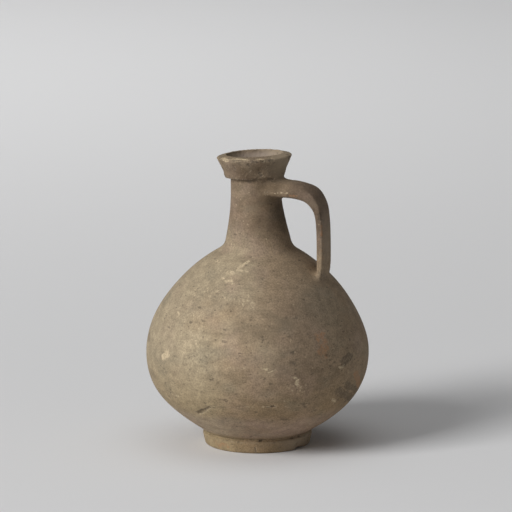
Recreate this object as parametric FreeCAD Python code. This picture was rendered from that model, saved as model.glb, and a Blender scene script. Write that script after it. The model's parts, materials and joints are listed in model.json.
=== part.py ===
"""One-handled earthenware jug: round belly, ring foot, leaning neck, collar mouth and a strap handle.

Millimetres. The origin is the centre of the foot on the table, +Z is up and +X points at the handle.
The jug was thrown, given its handle and fired as one piece, so it is one solid.
"""
import FreeCAD, Part
import math
import os

# Driving dimensions of the foot
FOOT_RADIUS = 37.3          # outer edge of the resting ring
FOOT_TOP_RADIUS = 38.6      # the ring leans outwards a little on its way up
FOOT_HEIGHT = 8.4
FOOT_RING_WIDTH = 8.0       # how broad the resting ring is
FOOT_RECESS = 4.0           # how far the underside is turned out
FOOT_EDGE_ROUND = 1.2
GROOVE_DEPTH = 1.3          # the turned line between the foot and the belly
GROOVE_HEIGHT = 1.9

# Driving dimensions of the belly
BELLY_RADIUS = 79.6
BELLY_WIDEST_HEIGHT = 66.9
BELLY_START_RADIUS = 37.8   # where the belly leaves the groove
BELLY_START_ANGLE = 32.0    # degrees above level
SHOULDER_HEIGHT = 145.0     # where the shoulder runs under the neck
SHOULDER_END_RADIUS = 20.0
SHOULDER_END_ANGLE = 24.7   # degrees above level
LOWER_FULLNESS = 28.2       # how far each curve holds its direction
UPPER_FULLNESS = 27.3
SHOULDER_FULLNESS = 36.7
WALL = 5.0
FLOOR_THICKNESS = 5.5

# Driving dimensions of the neck, measured along its own leaning axis
NECK_RISE = 2.0             # how far above the shoulder's end the point lies that the neck leans about
NECK_LENGTH = 47.2
NECK_TOP_RADIUS = 17.6
NECK_SPREAD = 6.0           # how much wider the neck is at its foot
NECK_FLARE_LENGTH = 12.0    # the stretch over which the foot of the neck spreads
NECK_LEAN = 3.7             # degrees off upright
NECK_LEAN_TOWARDS = 153.0   # degrees round from +X
CREASE_ROUND = 6.0
NECK_WALL = 4.0

# Driving dimensions of the collar and lip
COLLAR_STEP = 4.5           # how far the collar's lower edge stands out from the neck
COLLAR_HEIGHT = 13.8        # from the lower edge to the lip's outermost ring
COLLAR_EDGE_ROUND = 2.0
COLLAR_STRAIGHT = 5.5       # the upright stretch before the collar flares
COLLAR_FLARE_ROUND = 9.0
LIP_FLARE = 5.1             # how far the lip stands out from the collar's lower edge
LIP_WIDTH = 7.2             # from the outermost ring in to the crest
LIP_CREST_RISE = 2.2        # how far the inner crest stands above the outermost ring
LIP_EDGE_ROUND = 1.5
LIP_CREST_ROUND = 1.0
MOUTH_ANGLE = 75.0          # degrees above level at which the cup of the mouth opens out

# Driving dimensions of the handle, a strap that lies in the XZ plane
HANDLE_REACH = 50.2         # from the jug's axis to the middle of the strap's upright run
HANDLE_CLEARANCE = 2.1      # bare neck between the collar and the strap's smeared root
HANDLE_RISE = 6.0           # how far the strap is pulled upwards on its way out
HANDLE_BEND_DEPTH = 13.7    # how far down and in from its corner the bend reaches
HANDLE_BEND_CORNER = 0.3    # how near the bend comes to that corner, as a share of its depth
HANDLE_ROOT_INSET = 3.1     # how much narrower than the neck the root is, on each side
HANDLE_ROOT_THICKNESS = 10.0
STRAP_WIDTH = 19.6          # at the lower end
STRAP_THICKNESS = 4.8
STRAP_STATIONS = 13
SEAT_DEPTH = 2.5            # how deep its end is sunk into the shoulder's clay
ROOT_SPREAD = 2.0           # how much wider the smeared clay is at the neck
SEAT_SPREAD = 3.0           # how much wider it is at the shoulder
SMEAR_SWELL = 1.2           # how much thicker it is at both
SMEAR_REACH = 9.0           # how far along the strap it runs
SEAT_ROUND = 2.5            # the thumbed hollow where the strap meets the shoulder
ROOT_ROUND = 2.5            # and where it meets the neck

# Chips in the lip: where round the rim in degrees, the radius of the scoop, and its depth
LIP_CHIPS = (
    (-101.0, 8.0, 0.9),
    (-77.0, 9.0, 1.3),
    (-55.0, 7.0, 1.5),
    (14.0, 6.0, 1.0),
)

# Sizes that follow from them
NECK_START_HEIGHT = SHOULDER_HEIGHT + NECK_RISE
NECK_BASE_RADIUS = NECK_TOP_RADIUS + NECK_SPREAD
BORE_RADIUS = NECK_TOP_RADIUS - NECK_WALL
COLLAR_RADIUS = NECK_TOP_RADIUS + COLLAR_STEP
LIP_RADIUS = COLLAR_RADIUS + LIP_FLARE
LIP_CREST_RADIUS = LIP_RADIUS - LIP_WIDTH
HANDLE_ROOT_WIDTH = 2 * (NECK_TOP_RADIUS - HANDLE_ROOT_INSET)
HANDLE_DROP = HANDLE_CLEARANCE + ROOT_ROUND + SMEAR_SWELL + HANDLE_ROOT_THICKNESS / 2

UP = FreeCAD.Vector(0, 0, 1)
CENTRE = FreeCAD.Vector(0, 0, 0)
FULL_TURN = 360.0
SMOOTH_DEGREE = 3
NECK_SEAM = 180.0           # the neck's seam lies opposite the belly's
FLARE_BELLY = 0.125         # how full the spread at the foot of the neck is
EDGE_SAMPLES = 9
HALVINGS = 40               # steps of the search along the shoulder's curve


def at(radius, height):
    """A point of an outline, which is drawn in the XZ plane."""
    return FreeCAD.Vector(radius, 0, height)


def slope(degrees):
    """The direction that rises outwards at this angle above level."""
    return at(math.cos(math.radians(degrees)), math.sin(math.radians(degrees)))


def bezier(*poles):
    curve = Part.BezierCurve()
    curve.setPoles(list(poles))
    return curve


def rounded_run(points):
    """Straight edges through points given as (radius, height, round), with an arc at each rounded corner."""
    edges = []
    start = at(*points[0][:2])
    for (r, h, corner_round), (next_r, next_h, _) in zip(points[1:-1], points[2:]):
        corner = at(r, h)
        into = (corner - start).normalize()
        away = (at(next_r, next_h) - corner).normalize()
        turn = into.getAngle(away)
        reach = corner_round * math.tan(turn / 2)
        if reach > 0:
            arc_start = corner - into * reach
            arc_end = corner + away * reach
            middle_pull = corner_round * (1 / math.cos(turn / 2) - 1)
            arc_middle = corner + (away - into).normalize() * middle_pull
            edges.append(Part.makeLine(start, arc_start))
            edges.append(Part.Arc(arc_start, arc_middle, arc_end).toShape())
            start = arc_end
        else:
            edges.append(Part.makeLine(start, corner))
            start = corner
    edges.append(Part.makeLine(start, at(*points[-1][:2])))
    return edges


def turned(edges, seam=0.0):
    """The solid that this closed outline sweeps about the Z axis, with its seam this far round from +X."""
    outline = Part.Face(Part.Wire(edges))
    outline.rotate(CENTRE, UP, seam)
    return outline.revolve(CENTRE, UP, FULL_TURN)


def on_neck(shape):
    """Moves a shape drawn upwards from the neck's start onto the neck's leaning axis."""
    turn = math.radians(NECK_LEAN_TOWARDS)
    tip_axis = FreeCAD.Vector(-math.sin(turn), math.cos(turn), 0)
    placed = shape.copy()
    placed.translate(at(0, NECK_START_HEIGHT))
    placed.rotate(at(0, NECK_START_HEIGHT), tip_axis, NECK_LEAN)
    return placed


def neck_axis_at(height):
    """The point of the neck's leaning axis at this height above the table."""
    turn = math.radians(NECK_LEAN_TOWARDS)
    drift = (height - NECK_START_HEIGHT) * math.tan(math.radians(NECK_LEAN))
    return FreeCAD.Vector(drift * math.cos(turn), drift * math.sin(turn), height)


def belly_curves(inset):
    """The belly's lower and upper curve, moved into the clay by inset, and the shoulder's point under the neck."""
    shrink = (BELLY_RADIUS - inset) / BELLY_RADIUS
    rise = slope(BELLY_START_ANGLE)
    fall_in = slope(180 - SHOULDER_END_ANGLE)
    start = at(BELLY_START_RADIUS, FOOT_HEIGHT + GROOVE_HEIGHT) + at(-rise.z, rise.x) * inset
    widest = at(BELLY_RADIUS - inset, BELLY_WIDEST_HEIGHT)
    end = at(SHOULDER_END_RADIUS, SHOULDER_HEIGHT) + at(-fall_in.z, fall_in.x) * inset
    lower = bezier(
        start,
        start + rise * LOWER_FULLNESS * shrink,
        widest - UP * LOWER_FULLNESS * shrink,
        widest,
    )
    upper = bezier(
        widest,
        widest + UP * UPPER_FULLNESS * shrink,
        end - fall_in * SHOULDER_FULLNESS * shrink,
        end,
    )
    under_neck = end + fall_in * SHOULDER_END_RADIUS / 2
    return lower, upper, under_neck


def closed_over(edges, under_neck):
    """Closes a belly outline along the shoulder's own slope, then across to the axis and down it."""
    end = edges[-1].valueAt(edges[-1].LastParameter)
    top = at(0, under_neck.z)
    bottom = edges[0].valueAt(edges[0].FirstParameter)
    return edges + [
        Part.makeLine(end, under_neck),
        Part.makeLine(under_neck, top),
        Part.makeLine(top, bottom),
    ]


def make_body():
    """The filled belly on its ring foot, with the turned-out underside and the groove above the foot."""
    recess_radius = FOOT_RADIUS - FOOT_RING_WIDTH
    groove_floor = FOOT_HEIGHT + GROOVE_HEIGHT / 2
    foot = rounded_run([
        (0, FOOT_RECESS, 0),
        (recess_radius - FOOT_RECESS / 2, FOOT_RECESS, FOOT_EDGE_ROUND),
        (recess_radius, 0, FOOT_EDGE_ROUND),
        (FOOT_RADIUS, 0, FOOT_EDGE_ROUND),
        (FOOT_TOP_RADIUS, FOOT_HEIGHT, FOOT_EDGE_ROUND),
        (FOOT_TOP_RADIUS - GROOVE_DEPTH, groove_floor, 0),
        (BELLY_START_RADIUS, FOOT_HEIGHT + GROOVE_HEIGHT, 0),
    ])
    lower, upper, under_neck = belly_curves(0)
    return turned(closed_over(foot + [lower.toShape(), upper.toShape()], under_neck))


def make_cavity():
    """The hollow inside the belly, which follows the outside one wall thickness in."""
    lower, upper, under_neck = belly_curves(WALL)
    rise = slope(BELLY_START_ANGLE)
    start = lower.StartPoint
    floor_height = FOOT_RECESS + FLOOR_THICKNESS
    knee = start - rise * ((start.z - floor_height) / rise.z)
    floor = bezier(at(0, floor_height), knee, start)
    return turned(closed_over([floor.toShape(), lower.toShape(), upper.toShape()], under_neck))


def neck_curve(base_radius, top_radius):
    """A neck line that spreads at its foot and runs straight into the collar."""
    straight = base_radius - (base_radius - top_radius) * NECK_FLARE_LENGTH * 2 / NECK_LENGTH
    return bezier(
        at(base_radius, 0),
        at(straight + (base_radius - straight) * FLARE_BELLY, NECK_FLARE_LENGTH),
        at(top_radius, NECK_LENGTH / 2),
        at(top_radius, NECK_LENGTH),
    )


def run_down(curve, depth):
    """The line that carries on below the start of a neck line, in its own direction."""
    start = curve.StartPoint
    away = (start - curve.getPole(2)).normalize()
    low = start + away * (depth / -away.z)
    return low, Part.makeLine(low, start)


def make_neck():
    """The filled neck with its collar and the lip's sloping top, on the leaning axis."""
    side = neck_curve(NECK_BASE_RADIUS, NECK_TOP_RADIUS)
    low, root = run_down(side, WALL * 2)
    outermost = NECK_LENGTH + COLLAR_HEIGHT
    crest = outermost + LIP_CREST_RISE
    undercut = COLLAR_EDGE_ROUND / 4
    collar = rounded_run([
        (NECK_TOP_RADIUS, NECK_LENGTH, 0),
        (COLLAR_RADIUS - COLLAR_EDGE_ROUND / 2, NECK_LENGTH - undercut, COLLAR_EDGE_ROUND / 2),
        (COLLAR_RADIUS, NECK_LENGTH + COLLAR_EDGE_ROUND, COLLAR_EDGE_ROUND),
        (COLLAR_RADIUS + undercut, NECK_LENGTH + COLLAR_STRAIGHT, COLLAR_FLARE_ROUND),
        (LIP_RADIUS, outermost, LIP_EDGE_ROUND / 2),
        (LIP_RADIUS - LIP_EDGE_ROUND, outermost + LIP_EDGE_ROUND / 2, LIP_EDGE_ROUND),
        (LIP_CREST_RADIUS, crest, 0),
        (0, crest, 0),
    ])
    closing = [
        Part.makeLine(at(0, crest), at(0, low.z)),
        Part.makeLine(at(0, low.z), low),
    ]
    return on_neck(turned([root, side.toShape()] + collar + closing, NECK_SEAM))


def make_bore():
    """The way in: the neck's bore and the cup of the mouth, on the leaning axis."""
    side = neck_curve(NECK_BASE_RADIUS - WALL, BORE_RADIUS)
    low, root = run_down(side, WALL * 3)
    crest = NECK_LENGTH + COLLAR_HEIGHT + LIP_CREST_RISE
    cup_depth = crest - NECK_LENGTH
    mouth = at(LIP_CREST_RADIUS, crest)
    wall_lean = slope(MOUTH_ANGLE)
    cup = bezier(
        at(BORE_RADIUS, NECK_LENGTH),
        at(BORE_RADIUS, NECK_LENGTH + cup_depth / 3),
        mouth - wall_lean * cup_depth / 3,
        mouth,
    )
    above = mouth + wall_lean * WALL
    closing = [
        Part.makeLine(mouth, above),
        Part.makeLine(above, at(0, above.z)),
        Part.makeLine(at(0, above.z), at(0, low.z)),
        Part.makeLine(at(0, low.z), low),
    ]
    return on_neck(turned([root, side.toShape(), cup.toShape()] + closing, NECK_SEAM))


def strap_section(middle, outward, width, thickness):
    """A closed, softly rounded strap outline at right angles to the strap."""
    across = FreeCAD.Vector(0, 1, 0)
    ring = ((1, 0), (1, 1), (0, 1), (-1, 1), (-1, 0), (-1, -1), (0, -1), (1, -1))
    poles = [middle + outward * (u * thickness / 2) + across * (v * width / 2) for u, v in ring]
    outline = Part.BSplineCurve()
    outline.buildFromPoles(poles, True, SMOOTH_DEGREE)
    return Part.Wire([outline.toShape()])


def shoulder_height(radius):
    """The height of the shoulder's outside at this distance from the axis."""
    upper = belly_curves(0)[1]
    low, high = 0.0, 1.0
    for _ in range(HALVINGS):
        middle = (low + high) / 2
        if upper.value(middle).x > radius:
            low = middle
        else:
            high = middle
    return upper.value(low).z


def make_handle():
    """The strap: out from the neck under the collar, over the bend and down into the shoulder."""
    top = NECK_START_HEIGHT + NECK_LENGTH - HANDLE_DROP
    root = at(neck_axis_at(top).x, top)
    seat_thickness = STRAP_THICKNESS + SMEAR_SWELL
    seat = at(HANDLE_REACH, shoulder_height(HANDLE_REACH + seat_thickness / 2) - SEAT_DEPTH)
    route = Part.BSplineCurve()
    route.buildFromPoles([
        root,
        at(HANDLE_REACH - HANDLE_BEND_DEPTH, top + HANDLE_RISE),
        at(HANDLE_REACH - HANDLE_BEND_DEPTH * HANDLE_BEND_CORNER, top - HANDLE_BEND_DEPTH * 2 / 3),
        at(HANDLE_REACH, top - HANDLE_BEND_DEPTH),
        seat,
    ], False, SMOOTH_DEGREE)
    length = route.length()
    sections = []
    for i in range(STRAP_STATIONS):
        run = length * i / (STRAP_STATIONS - 1)
        parameter = route.parameterAtDistance(run, route.FirstParameter)
        along = route.tangent(parameter)[0]
        outward = at(-along.z, along.x)
        left_to_go = (route.LastParameter - parameter) / (route.LastParameter - route.FirstParameter)
        root_smear = smear(run - (NECK_TOP_RADIUS - root.x))
        seat_smear = smear(length - run - WALL)
        width = STRAP_WIDTH + (HANDLE_ROOT_WIDTH - STRAP_WIDTH) * left_to_go
        width += ROOT_SPREAD * root_smear + SEAT_SPREAD * seat_smear
        thickness = STRAP_THICKNESS + (HANDLE_ROOT_THICKNESS - STRAP_THICKNESS) * left_to_go
        thickness += SMEAR_SWELL * (root_smear + seat_smear)
        sections.append(strap_section(route.value(parameter), outward, width, thickness))
    return Part.makeLoft(sections, True, False, False, SMOOTH_DEGREE)


def smear(distance):
    """How much of the smeared clay there is this far along the strap from the wall: 1 at the wall, 0 far off."""
    return max(0.0, 1 - max(0.0, distance) / SMEAR_REACH) ** 2


def strap_joints(shape):
    """The edges where the strap, the one large lofted face, runs into the neck, and where it meets the shoulder."""
    lofted = [face for face in shape.Faces if isinstance(face.Surface, Part.BSplineSurface)]
    strap = max(lofted, key=lambda face: face.Area)
    joints = [edge for edge in strap.Edges if not edge.isSeam(strap) and not edge.Degenerated]
    root = [edge for edge in joints if edge.CenterOfMass.z > NECK_START_HEIGHT]
    seat = [edge for edge in joints if edge.CenterOfMass.z < NECK_START_HEIGHT]
    return root, seat


def rings_near(shape, height, radius, slack):
    """The edges round the neck that keep this height and this distance from the jug's axis."""
    found = []
    for edge in shape.Edges:
        if edge.Degenerated:
            continue
        points = edge.discretize(EDGE_SAMPLES)
        heights_fit = all(abs(p.z - height) < slack for p in points)
        radii_fit = all(abs(math.hypot(p.x, p.y) - radius) < slack for p in points)
        goes_round = edge.Length > radius
        if heights_fit and radii_fit and goes_round:
            found.append(edge)
    return found


def lip_chip(degrees, scoop_radius, depth):
    """A shallow scoop out of the lip's outer edge."""
    outermost = NECK_LENGTH + COLLAR_HEIGHT
    distance = LIP_RADIUS + scoop_radius - depth
    turn = math.radians(degrees)
    middle = FreeCAD.Vector(distance * math.cos(turn), distance * math.sin(turn), outermost + depth)
    return on_neck(Part.makeSphere(scoop_radius, middle))


def make_jug():
    outside = make_body().fuse([make_neck(), make_handle()]).removeSplitter()
    outside = outside.makeFillet(SEAT_ROUND, strap_joints(outside)[1])
    outside = outside.makeFillet(ROOT_ROUND, strap_joints(outside)[0])
    crease = rings_near(outside, shoulder_height(NECK_BASE_RADIUS), NECK_BASE_RADIUS, WALL / 2)
    outside = outside.makeFillet(CREASE_ROUND, crease)
    jug = outside.cut(make_cavity().fuse(make_bore()))
    crest_height = NECK_START_HEIGHT + NECK_LENGTH + COLLAR_HEIGHT + LIP_CREST_RISE
    crest = rings_near(jug, crest_height, LIP_CREST_RADIUS, WALL)
    jug = jug.makeFillet(LIP_CREST_ROUND, crest)
    chips = [lip_chip(*chip) for chip in LIP_CHIPS]
    return jug.cut(chips)


os.makedirs("parts", exist_ok=True)
jug = make_jug()
solids = jug.Solids
print("solids", len(solids), "valid", jug.isValid(), "volume cm3", round(jug.Volume / 1000, 1))
box = jug.BoundBox
print("box", [round(v, 2) for v in (box.XMin, box.XMax, box.YMin, box.YMax, box.ZMin, box.ZMax)])
solids[0].exportStep("parts/jug.step")
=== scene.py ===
# %% [markdown]
# # An earthenware jug, thrown on a wheel
#
# The real thing holds wine or water. A potter opened a ball of grey-brown clay on the wheel, drew up a round
# belly, gathered the shoulder into a slim neck and folded the top out into a collar. When the clay was as firm
# as leather the foot was turned, and a pulled strap was pressed on for a handle. After one firing, without a
# glaze, it is a single piece, and long years in the ground have chipped, pitted and stained it.
#
# This lesson follows the same order: turn the body, add the strap, knock the marks into it, then colour it.

# %% Load the measured model
import json
import math

import bmesh
import bpy
from mathutils import Matrix, Vector, noise
from mathutils.bvhtree import BVHTree
from mathutils.geometry import interpolate_bezier
from mathutils.kdtree import KDTree

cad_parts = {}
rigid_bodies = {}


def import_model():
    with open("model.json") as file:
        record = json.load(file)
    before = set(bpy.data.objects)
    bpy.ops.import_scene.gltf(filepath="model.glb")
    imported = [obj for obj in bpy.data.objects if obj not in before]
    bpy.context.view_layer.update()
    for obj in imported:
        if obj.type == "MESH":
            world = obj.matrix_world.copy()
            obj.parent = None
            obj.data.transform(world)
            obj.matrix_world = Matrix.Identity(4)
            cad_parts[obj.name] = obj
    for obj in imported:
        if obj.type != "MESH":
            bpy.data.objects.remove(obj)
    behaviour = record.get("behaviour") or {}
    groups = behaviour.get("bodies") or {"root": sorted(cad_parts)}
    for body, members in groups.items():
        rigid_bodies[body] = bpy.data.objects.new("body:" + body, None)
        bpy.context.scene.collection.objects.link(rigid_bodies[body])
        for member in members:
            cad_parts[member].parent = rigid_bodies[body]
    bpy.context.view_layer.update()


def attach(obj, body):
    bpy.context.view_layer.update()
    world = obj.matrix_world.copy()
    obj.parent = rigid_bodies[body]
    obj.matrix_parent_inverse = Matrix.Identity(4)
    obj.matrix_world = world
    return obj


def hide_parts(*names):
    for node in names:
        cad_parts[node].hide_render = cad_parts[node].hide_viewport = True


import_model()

MM = 0.001

# %% [markdown]
# ## The camera comes first
#
# The marks on this jug are known from one picture, so the camera that took it is set up before any clay is
# touched: a long lens, four metres away, looking down by less than twelve degrees. The handle points to the
# right and a little towards the lens. A small helper turns a picture point into a ray, and later each chip
# is found by following such a ray until it meets the clay, so that it sits on the surface from every side.

# %% Camera
PICTURE_SIZE = 512
VIEW_DISTANCE = 4000.0
VIEW_ELEVATION = math.radians(11.60866)
VIEW_TURN = math.radians(20.0)
FOCAL_PIXELS = 5617.462
AIM_SIDEWAYS = -1.07539
AIM_HEIGHT = 135.76742
SENSOR_WIDTH = 36.0

view_right = Vector((math.cos(VIEW_TURN), math.sin(VIEW_TURN), 0))
level_ahead = Vector((-math.sin(VIEW_TURN), math.cos(VIEW_TURN), 0))
view_ahead = level_ahead * math.cos(VIEW_ELEVATION) - Vector((0, 0, math.sin(VIEW_ELEVATION)))
view_up = view_right.cross(view_ahead)
camera_place = view_right * AIM_SIDEWAYS + Vector((0, 0, AIM_HEIGHT)) - view_ahead * VIEW_DISTANCE

lens = bpy.data.cameras.new("studio_camera")
lens.sensor_width = SENSOR_WIDTH
lens.lens = FOCAL_PIXELS * SENSOR_WIDTH / PICTURE_SIZE
lens.clip_end = 100.0
camera = bpy.data.objects.new("studio_camera", lens)
turned_axes = Matrix((view_right, view_up, -view_ahead)).transposed().to_4x4()
camera.matrix_world = Matrix.Translation(camera_place * MM) @ turned_axes
bpy.context.scene.collection.objects.link(camera)
bpy.context.scene.camera = camera


def ray_through(picture_x, picture_y):
    """The direction in which a point of the 512 pixel picture is seen."""
    middle = (PICTURE_SIZE - 1) / 2
    across = view_right * (picture_x - middle) / FOCAL_PIXELS
    upwards = view_up * (middle - picture_y) / FOCAL_PIXELS
    return (view_ahead + across + upwards).normalized()


print("lens in mm:", round(lens.lens, 1))

# %% [markdown]
# ## The outline
#
# Everything that comes off a wheel is an outline turned about an axis. The outline could be typed in as a
# hundred points, but a potter thinks in a few sweeps, and so does this script: each sweep is one bow between
# two ends, held by two pulls, and straight runs get softly rounded corners. All sizes are in millimetres.

# %% Sizes of the turned body
FOOT_RADIUS = 37.5
FOOT_TOP_RADIUS = 39.3
FOOT_HEIGHT = 8.4
FOOT_RING_WIDTH = 8.0
FOOT_RECESS = 4.0
FOOT_ROUND = 1.6
GROOVE_DEPTH = 1.3
GROOVE_HEIGHT = 1.9
GROOVE_ROUND = 0.3

BELLY_RADIUS = 79.6
BELLY_WIDEST = 66.9
BELLY_START_RADIUS = 37.8
BELLY_START_ANGLE = 32.0
SHOULDER_HEIGHT = 145.0
SHOULDER_RADIUS = 20.0
SHOULDER_ANGLE = 24.7
LOWER_FULLNESS = 28.2
UPPER_FULLNESS = 27.3
SHOULDER_FULLNESS = 36.7
WALL = 5.0
FLOOR_THICKNESS = 5.5

NECK_START = 147.0
NECK_LENGTH = 47.2
NECK_BASE_RADIUS = 23.6
NECK_TOP_RADIUS = 17.6
NECK_FLARE = 12.0
FLARE_FULLNESS = 0.125
NECK_LEAN = math.radians(3.7)
LEAN_TOWARDS = math.radians(153.0)
CREASE_REACH = 4.6
CREASE_TIGHTNESS = 2.6
NEAR_NECK = 30.0
BORE_RADIUS = 13.6

COLLAR_RADIUS = 22.1
COLLAR_HEIGHT = 13.8
COLLAR_EDGE_ROUND = 1.1
COLLAR_UNDERCUT = 0.5
COLLAR_STRAIGHT = 4.4
COLLAR_FLARE_ROUND = 7.0
LIP_RADIUS = 27.2
CREST_RADIUS = 20.0
CREST_RISE = 2.2
LIP_ROUND = 1.5
CREST_ROUND = 0.8
MOUTH_ANGLE = 75.0

# How far apart the rows of the mesh lie, and how many steps go round
ROW_STEP = 1.5
COLLAR_ROW_STEP = ROW_STEP * 0.7
HIDDEN_STEP = 4.5
BODY_TURNS = 160
print("rows lie", ROW_STEP, "mm apart, with", BODY_TURNS, "steps round")

# %% Helpers that draw sweeps
ROUGH_POINTS = 33
ROUND_PULL = 0.55


def bow(start, start_pull, end_pull, end, step):
    """Points of one bowed sweep, about a step apart, from start up to but not including end."""
    rough = interpolate_bezier(start, start_pull, end_pull, end, ROUGH_POINTS)
    length = sum((b - a).length for a, b in zip(rough, rough[1:]))
    count = max(2, round(length / step)) + 1
    return interpolate_bezier(start, start_pull, end_pull, end, count)[:-1]


def straight(start, end, step):
    """Points of one straight run, from start up to but not including end."""
    count = max(1, round((end - start).length / step))
    return [start.lerp(end, i / count) for i in range(count)]


def cornered(corners, step):
    """Straight runs through (radius, height, round) corners. Each round is drawn as a short bow."""
    spots = [Vector(c[:2]) for c in corners]
    points = []
    start = spots[0]
    for before, corner, after, (_, _, corner_round) in zip(spots, spots[1:], spots[2:], corners[1:]):
        into = (corner - before).normalized()
        away = (after - corner).normalized()
        reach = corner_round * math.tan(into.angle(away) / 2)
        arc_start = corner - into * reach
        arc_end = corner + away * reach
        points += straight(start, arc_start, step)
        if reach > 0:
            start_pull = arc_start.lerp(corner, ROUND_PULL)
            end_pull = arc_end.lerp(corner, ROUND_PULL)
            points += bow(arc_start, start_pull, end_pull, arc_end, step / 2)
        start = arc_end
    return points + straight(start, spots[-1], step)


def slope(degrees):
    """The direction in the outline that rises outwards at this angle."""
    return Vector((math.cos(math.radians(degrees)), math.sin(math.radians(degrees))))


quarter = bow(Vector((0, 0)), Vector((5, 0)), Vector((10, 5)), Vector((10, 10)), 1)
print("a quarter bow of 10 mm has", len(quarter), "points")

# %% [markdown]
# ## The belly, outside and inside
#
# Two bows make the belly: one from the foot to the widest ring, one over the shoulder to the neck. The inside
# runs one wall further in. A solidify modifier could make the inside too, but a potter's wall isn't even, and
# drawing both sides keeps the floor and the mouth as the real jug has them.

# %% Belly sweeps


def belly(inset):
    """The lower and upper bow of the belly, moved into the clay by inset, as two lists of four poles."""
    shrink = (BELLY_RADIUS - inset) / BELLY_RADIUS
    rise = slope(BELLY_START_ANGLE)
    fall = slope(180 - SHOULDER_ANGLE)
    start = Vector((BELLY_START_RADIUS, FOOT_HEIGHT + GROOVE_HEIGHT)) + Vector((-rise.y, rise.x)) * inset
    widest = Vector((BELLY_RADIUS - inset, BELLY_WIDEST))
    end = Vector((SHOULDER_RADIUS, SHOULDER_HEIGHT)) + Vector((-fall.y, fall.x)) * inset
    up = Vector((0, 1))
    lower = (start, start + rise * LOWER_FULLNESS * shrink, widest - up * LOWER_FULLNESS * shrink, widest)
    upper = (widest, widest + up * UPPER_FULLNESS * shrink, end - fall * SHOULDER_FULLNESS * shrink, end)
    return lower, upper


def neck_side(base_radius, top_radius):
    """The four poles of a neck line, which spreads at its foot and runs straight into the collar."""
    straight_radius = base_radius - (base_radius - top_radius) * NECK_FLARE * 2 / NECK_LENGTH
    return (
        Vector((base_radius, NECK_START)),
        Vector((straight_radius + (base_radius - straight_radius) * FLARE_FULLNESS, NECK_START + NECK_FLARE)),
        Vector((top_radius, NECK_START + NECK_LENGTH / 2)),
        Vector((top_radius, NECK_START + NECK_LENGTH)),
    )


def creased(shoulder_points, neck_points, reach):
    """Joins the shoulder to the neck with a soft crease that starts this far from their corner."""
    neck_slant = (neck_points[1] - neck_points[0]).normalized()
    near_neck = [p for p in shoulder_points if p.x < NEAR_NECK]
    corner = min(near_neck, key=lambda p: abs((p - neck_points[0]).cross(neck_slant)))
    before = [p for p in shoulder_points if p.x > corner.x + reach]
    after = [p for p in neck_points if p.y > corner.y + reach]
    into = (before[-1] - before[-2]).normalized()
    away = (after[1] - after[0]).normalized()
    pull = (after[0] - before[-1]).length / CREASE_TIGHTNESS
    crease = bow(before[-1], before[-1] + into * pull, after[0] - away * pull, after[0], ROW_STEP)
    return before[:-1] + crease + after


lower_out, upper_out = belly(0)
shoulder_line = bow(*upper_out, ROW_STEP)
neck_line = bow(*neck_side(NECK_BASE_RADIUS, NECK_TOP_RADIUS), ROW_STEP)
print("shoulder rows:", len(shoulder_line), "neck rows:", len(neck_line))

# %% The whole outline, from under the foot, over the lip and down the inside
collar_foot = NECK_START + NECK_LENGTH
outermost = collar_foot + COLLAR_HEIGHT
crest = outermost + CREST_RISE
recess_radius = FOOT_RADIUS - FOOT_RING_WIDTH
mouth_slant = math.radians(MOUTH_ANGLE)
mouth_edge = Vector((CREST_RADIUS - math.cos(mouth_slant), crest - math.sin(mouth_slant)))

foot = cornered([
    (0, FOOT_RECESS, 0),
    (recess_radius - FOOT_RECESS / 2, FOOT_RECESS, FOOT_ROUND),
    (recess_radius, 0, FOOT_ROUND),
    (FOOT_RADIUS, 0, FOOT_ROUND),
    (FOOT_TOP_RADIUS, FOOT_HEIGHT, FOOT_ROUND),
    (FOOT_TOP_RADIUS - GROOVE_DEPTH, FOOT_HEIGHT + GROOVE_HEIGHT / 2, GROOVE_ROUND),
    (BELLY_START_RADIUS, FOOT_HEIGHT + GROOVE_HEIGHT, 0),
], ROW_STEP)
collar = cornered([
    (NECK_TOP_RADIUS, collar_foot, 0),
    (COLLAR_RADIUS - COLLAR_EDGE_ROUND / 2, collar_foot - COLLAR_UNDERCUT, COLLAR_EDGE_ROUND / 2),
    (COLLAR_RADIUS, collar_foot + COLLAR_EDGE_ROUND, COLLAR_EDGE_ROUND),
    (COLLAR_RADIUS + COLLAR_UNDERCUT, collar_foot + COLLAR_STRAIGHT, COLLAR_FLARE_ROUND),
    (LIP_RADIUS, outermost, LIP_ROUND / 2),
    (LIP_RADIUS - LIP_ROUND, outermost + LIP_ROUND / 2, LIP_ROUND),
    (CREST_RADIUS, crest, CREST_ROUND),
    (mouth_edge.x, mouth_edge.y, 0),
], COLLAR_ROW_STEP)

cup_pull = (crest - collar_foot) / 3
cup = bow(
    mouth_edge,
    mouth_edge - slope(MOUTH_ANGLE) * cup_pull,
    Vector((BORE_RADIUS, collar_foot + cup_pull)),
    Vector((BORE_RADIUS, collar_foot)),
    ROW_STEP,
)
lower_in, upper_in = belly(WALL)
bore_line = bow(*neck_side(NECK_BASE_RADIUS - WALL, BORE_RADIUS), HIDDEN_STEP)
inner_shoulder = bow(*upper_in, HIDDEN_STEP)
inner_throat = creased(inner_shoulder, bore_line, CREASE_REACH)
floor_height = FOOT_RECESS + FLOOR_THICKNESS
knee = lower_in[0] - slope(BELLY_START_ANGLE) * (lower_in[0].y - floor_height) / slope(BELLY_START_ANGLE).y
inside_up = bow(Vector((0, floor_height)), knee, knee, lower_in[0], HIDDEN_STEP)
inside_up += bow(*lower_in, HIDDEN_STEP) + inner_throat

outside = foot + bow(*lower_out, ROW_STEP) + creased(shoulder_line, neck_line, CREASE_REACH) + collar
outline = outside + cup + list(reversed(inside_up))
print("rows outside:", len(outside), "rows inside:", len(outline) - len(outside))

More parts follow.
